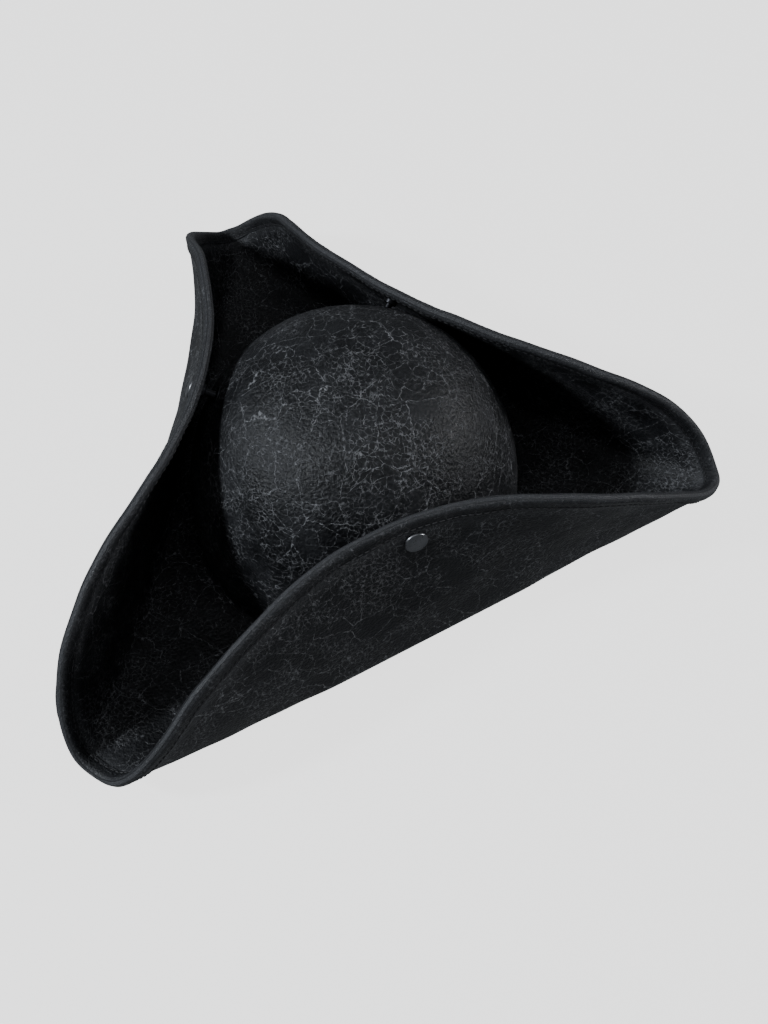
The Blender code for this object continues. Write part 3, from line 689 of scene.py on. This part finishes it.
# --- Materials -------------------------------------------------------------------
class Nodes:
    """Short calls for building one material's node tree."""

    def __init__(self, name):
        self.material = bpy.data.materials.new(name)
        self.material.use_nodes = True
        self.tree = self.material.node_tree
        self.shader = self.tree.nodes["Principled BSDF"]

    def link(self, source, target):
        self.tree.links.new(source, target)

    def attribute(self, name, output="Vector"):
        node = self.tree.nodes.new("ShaderNodeAttribute")
        node.attribute_name = name
        return node.outputs[output]

    def noise(self, place, scale, detail=2.0, rough=0.5, output="Fac"):
        node = self.tree.nodes.new("ShaderNodeTexNoise")
        node.inputs["Scale"].default_value = scale
        node.inputs["Detail"].default_value = detail
        node.inputs["Roughness"].default_value = rough
        self.link(place, node.inputs["Vector"])
        return node.outputs[output]

    def cracks(self, place, scale):
        node = self.tree.nodes.new("ShaderNodeTexVoronoi")
        node.feature = "DISTANCE_TO_EDGE"
        node.inputs["Scale"].default_value = scale
        self.link(place, node.inputs["Vector"])
        return node.outputs["Distance"]

    def span(self, value, low, high, to_low=0.0, to_high=1.0):
        node = self.tree.nodes.new("ShaderNodeMapRange")
        node.interpolation_type = "SMOOTHSTEP"
        limits = {"From Min": low, "From Max": high, "To Min": to_low, "To Max": to_high}
        for socket, number in limits.items():
            node.inputs[socket].default_value = number
        self.link(value, node.inputs["Value"])
        return node.outputs["Result"]

    def math(self, operation, first, second=None):
        node = self.tree.nodes.new("ShaderNodeMath")
        node.operation = operation
        for socket, value in zip(node.inputs, (first, second)):
            if value is None:
                continue
            if isinstance(value, (int, float)):
                socket.default_value = value
            else:
                self.link(value, socket)
        return node.outputs[0]

    def vector(self, operation, first, second):
        node = self.tree.nodes.new("ShaderNodeVectorMath")
        node.operation = operation
        for socket, value in zip(node.inputs, (first, second)):
            if isinstance(value, tuple):
                socket.default_value = value
            else:
                self.link(value, socket)
        return node.outputs[0]

    def scaled(self, first, factor):
        node = self.tree.nodes.new("ShaderNodeVectorMath")
        node.operation = "SCALE"
        self.link(first, node.inputs[0])
        node.inputs["Scale"].default_value = factor
        return node.outputs[0]

    def mix_colour(self, factor, first, second):
        node = self.tree.nodes.new("ShaderNodeMix")
        node.data_type = "RGBA"
        self.link(factor, node.inputs[0])
        for index, value in ((6, first), (7, second)):
            if isinstance(value, tuple):
                node.inputs[index].default_value = (*value, 1.0)
            else:
                self.link(value, node.inputs[index])
        return node.outputs[2]

    def bump(self, height, distance, strength=1.0):
        node = self.tree.nodes.new("ShaderNodeBump")
        node.inputs["Distance"].default_value = distance
        node.inputs["Strength"].default_value = strength
        self.link(height, node.inputs["Height"])
        self.link(node.outputs["Normal"], self.shader.inputs["Normal"])


def wandering(nodes, place, scale, reach):
    """The place pushed about by noise, so that straight cracks wander."""
    push = nodes.noise(place, scale, 3.0, 0.6, "Color")
    centred = nodes.vector("SUBTRACT", push, (0.5, 0.5, 0.5))
    return nodes.vector("ADD", place, nodes.scaled(centred, reach))


def suede_material(name, dark, light, vein, amount=1.0):
    """Distressed black suede: mottled, with a broken net of fine paler cracks."""
    nodes = Nodes(name)
    place = nodes.attribute("cloth")
    shifted = nodes.vector("ADD", place, (1.3, 0.7, 0.4))
    wide = wandering(nodes, place, 45.0, 0.009)
    fine = wandering(nodes, wide, 420.0, 0.0024)
    long_cracks = nodes.span(nodes.cracks(fine, 43.0), 0.0, 0.0125, 1.0, 0.0)
    cracks = nodes.span(nodes.cracks(fine, 135.0), 0.0, 0.032, 1.0, 0.0)
    finest = wandering(nodes, wide, 900.0, 0.0014)
    small_cracks = nodes.span(nodes.cracks(finest, 340.0), 0.0, 0.085, 1.0, 0.0)
    where_long = nodes.span(nodes.noise(place, 34.0, 4.0, 0.6), 0.38, 0.5)
    where_some = nodes.span(nodes.noise(shifted, 52.0, 4.0, 0.6), 0.42, 0.56)
    where_small = nodes.span(nodes.noise(shifted, 38.0, 4.0, 0.6), 0.42, 0.6)
    broken = nodes.span(nodes.noise(place, 480.0, 2.0), 0.4, 0.6, 0.15, 1.0)
    veins = nodes.math("MULTIPLY", long_cracks, where_long)
    some = nodes.math("MULTIPLY", nodes.math("MULTIPLY", cracks, where_some), 0.75)
    small = nodes.math("MULTIPLY", nodes.math("MULTIPLY", small_cracks, where_small), 0.6)
    veins = nodes.math("MAXIMUM", veins, nodes.math("MAXIMUM", some, small))
    veins = nodes.math("MULTIPLY", veins, broken)
    nap = nodes.noise(place, 1700.0, 2.0, 0.6)
    mottle = nodes.span(nodes.noise(place, 30.0, 4.0, 0.62), 0.36, 0.66)
    grain = nodes.span(nodes.noise(place, 560.0, 2.0), 0.3, 0.75)
    tone = nodes.math("ADD", nodes.math("MULTIPLY", mottle, 0.6), nodes.math("MULTIPLY", grain, 0.4))
    ground = nodes.mix_colour(tone, dark, light)
    coloured = nodes.mix_colour(nodes.math("MULTIPLY", veins, amount), ground, vein)
    wear = nodes.math("MULTIPLY", nodes.attribute("wear", "Fac"), nodes.span(nap, 0.35, 0.7, 0.15, 0.6))
    coloured = nodes.mix_colour(wear, coloured, vein)
    nodes.link(coloured, nodes.shader.inputs["Base Color"])
    rough = nodes.span(tone, 0.0, 1.0, 0.39, 0.58)
    rough = nodes.math("SUBTRACT", rough, nodes.math("MULTIPLY", veins, 0.2))
    nodes.link(rough, nodes.shader.inputs["Roughness"])
    nodes.shader.inputs["Specular IOR Level"].default_value = 0.27
    height = nodes.math("ADD", nodes.math("MULTIPLY", veins, 1.0), nodes.math("MULTIPLY", nap, 0.5))
    height = nodes.math("ADD", height, nodes.math("MULTIPLY", grain, 0.9))
    nodes.bump(height, 0.0004, 0.9)
    return nodes.material


def thread_material(name, colour):
    nodes = Nodes(name)
    place = nodes.attribute("cloth")
    twist = nodes.noise(place, 2600.0, 1.0)
    coloured = nodes.mix_colour(twist, tuple(0.6 * c for c in colour), tuple(1.5 * c for c in colour))
    nodes.link(coloured, nodes.shader.inputs["Base Color"])
    nodes.shader.inputs["Roughness"].default_value = 0.6
    nodes.bump(twist, 0.0001, 0.6)
    return nodes.material


def twill_material(name, colour):
    """Fine diagonal weave, drawn along the band."""
    nodes = Nodes(name)
    place = nodes.attribute("cloth")
    wave = nodes.tree.nodes.new("ShaderNodeTexWave")
    wave.bands_direction = "DIAGONAL"
    wave.inputs["Scale"].default_value = 420.0
    wave.inputs["Distortion"].default_value = 0.6
    wave.inputs["Detail"].default_value = 1.0
    nodes.link(place, wave.inputs["Vector"])
    fuzz = nodes.noise(place, 1500.0, 2.0)
    weave = nodes.math("MULTIPLY", wave.outputs["Fac"], 0.6)
    tone = nodes.math("ADD", weave, nodes.math("MULTIPLY", fuzz, 0.4))
    coloured = nodes.mix_colour(tone, tuple(0.5 * c for c in colour), tuple(1.6 * c for c in colour))
    nodes.link(coloured, nodes.shader.inputs["Base Color"])
    nodes.shader.inputs["Roughness"].default_value = 0.85
    nodes.bump(tone, 0.0002, 0.7)
    return nodes.material


def satin_material(name, colour):
    nodes = Nodes(name)
    place = nodes.attribute("cloth")
    folds_and_painted_fold_shading = nodes.noise(place, 38.0, 3.0)
    weave = nodes.noise(place, 2400.0, 1.0)
    # Painted sheen and shade: the colour is lighter on the fold ridges and darker in the fold hollows.
    coloured = nodes.mix_colour(folds_and_painted_fold_shading, tuple(0.7 * c for c in colour), tuple(1.5 * c for c in colour))
    nodes.link(coloured, nodes.shader.inputs["Base Color"])
    nodes.shader.inputs["Roughness"].default_value = 0.42
    height = nodes.math("ADD", nodes.math("MULTIPLY", folds_and_painted_fold_shading, 6.0), nodes.math("MULTIPLY", weave, 0.2))
    nodes.bump(height, 0.0004, 0.6)
    return nodes.material


def gunmetal_material(name, dark, light):
    nodes = Nodes(name)
    place = nodes.attribute("cloth")
    scuff = nodes.noise(place, 900.0, 4.0, 0.6)
    tarnish = nodes.noise(place, 160.0, 2.0)
    coloured = nodes.mix_colour(tarnish, dark, light)
    nodes.link(coloured, nodes.shader.inputs["Base Color"])
    nodes.shader.inputs["Metallic"].default_value = 1.0
    nodes.link(nodes.span(scuff, 0.3, 0.7, 0.26, 0.42), nodes.shader.inputs["Roughness"])
    nodes.bump(scuff, 0.00006, 0.5)
    return nodes.material


def make_materials():
    return {
        "suede": suede_material("distressed_suede", (0.0035, 0.0038, 0.0044), (0.016, 0.0168, 0.019),
                                (0.23, 0.234, 0.247)),
        "tape": suede_material("suede_tape", (0.004, 0.0043, 0.005), (0.014, 0.0147, 0.0165),
                               (0.11, 0.113, 0.122), 1.0),
        "thread": thread_material("thread_black", (0.02, 0.02, 0.022)),
        "twill": twill_material("black_twill", (0.022, 0.022, 0.024)),
        "satin": satin_material("black_satin", (0.012, 0.012, 0.014)),
        "gunmetal": gunmetal_material("gunmetal_snap", (0.11, 0.113, 0.122), (0.27, 0.275, 0.29)),
        "dark_metal": gunmetal_material("gunmetal_inner", (0.012, 0.012, 0.014), (0.045, 0.046, 0.05)),
    }


def finish_hidden_nodes(materials):
    """The CAD pieces that stay shown, inside the hat, get the same metal as the snaps."""
    for flap in FLAPS:
        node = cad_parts["snap_back_" + flap]
        node.material_slots[0].material = materials["gunmetal"]


# --- Stage ---------------------------------------------------------------------
def camera_axes():
    elevation = math.radians(CAMERA_ELEVATION)
    yaw = math.radians(CAMERA_YAW)
    back = Vector((-math.cos(elevation) * math.sin(yaw), -math.cos(elevation) * math.cos(yaw),
                   math.sin(elevation)))
    right = (-back).cross(Vector((0, 0, 1))).normalized()
    up = right.cross(-back)
    return back, right, up


def make_camera():
    back, right, up = camera_axes()
    target = Vector(tuple((np.array(CAMERA_TARGET) + SHIFT) * MM))
    roll = math.radians(CAMERA_ROLL)
    tilted_up = up * math.cos(roll) + right * math.sin(roll)
    tilted_right = right * math.cos(roll) - up * math.sin(roll)
    data = bpy.data.cameras.new("camera")
    data.lens = CAMERA_LENS
    data.sensor_width = 36.0
    data.sensor_fit = "AUTO"
    data.shift_x, data.shift_y = CAMERA_SHIFT
    camera = bpy.data.objects.new("camera", data)
    turn = Matrix((tilted_right, tilted_up, back)).transposed().to_4x4()
    camera.matrix_world = Matrix.Translation(target + back * CAMERA_DISTANCE) @ turn
    bpy.context.scene.collection.objects.link(camera)
    bpy.context.scene.camera = camera


def add_light(name, place, aim, side, power, colour):
    data = bpy.data.lights.new(name, "AREA")
    data.shape = "RECTANGLE"
    data.size = side
    data.size_y = side
    data.energy = power
    data.color = colour
    light = bpy.data.objects.new(name, data)
    turn = (Vector(aim) - Vector(place)).to_track_quat("-Z", "Y").to_matrix().to_4x4()
    light.matrix_world = Matrix.Translation(place) @ turn
    bpy.context.scene.collection.objects.link(light)


def make_stage():
    mesh = bpy.data.meshes.new("floor")
    corners = [(x * FLOOR_REACH, y * FLOOR_REACH, 0) for x, y in ((-1, -1), (1, -1), (1, 1), (-1, 1))]
    mesh.from_pydata(corners, [], [(0, 1, 2, 3)])
    nodes = Nodes("pale_floor")
    nodes.shader.inputs["Base Color"].default_value = (FLOOR_GREY, FLOOR_GREY, FLOOR_GREY, 1.0)
    nodes.shader.inputs["Roughness"].default_value = 1.0
    nodes.shader.inputs["Specular IOR Level"].default_value = 0.0
    nodes.shader.inputs["Emission Color"].default_value = (1.0, 1.0, 1.0, 1.0)
    nodes.shader.inputs["Emission Strength"].default_value = FLOOR_GLOW
    mesh.materials.append(nodes.material)
    floor = bpy.data.objects.new("floor", mesh)
    bpy.context.scene.collection.objects.link(floor)
    floor.visible_diffuse = False
    floor.visible_glossy = False
    world = bpy.data.worlds.new("studio")
    bpy.context.scene.world = world
    world.use_nodes = True
    world.node_tree.nodes["Background"].inputs["Color"].default_value = (*COOL, 1.0)
    world.node_tree.nodes["Background"].inputs["Strength"].default_value = WORLD_LIGHT
    for name, settings in LIGHTS.items():
        add_light(name, *settings)


def main():
    materials = make_materials()
    make_camera()
    make_stage()
    for half in half_flaps():
        make_brim_half(half, materials["suede"])
        make_tape_half(half, materials["tape"])
        make_stitch_half(half, materials["thread"])
    make_crown(materials)
    make_bands(materials)
    for flap in FLAPS:
        make_snap(flap, materials["gunmetal"], materials["dark_metal"])
    finish_hidden_nodes(materials)


main()
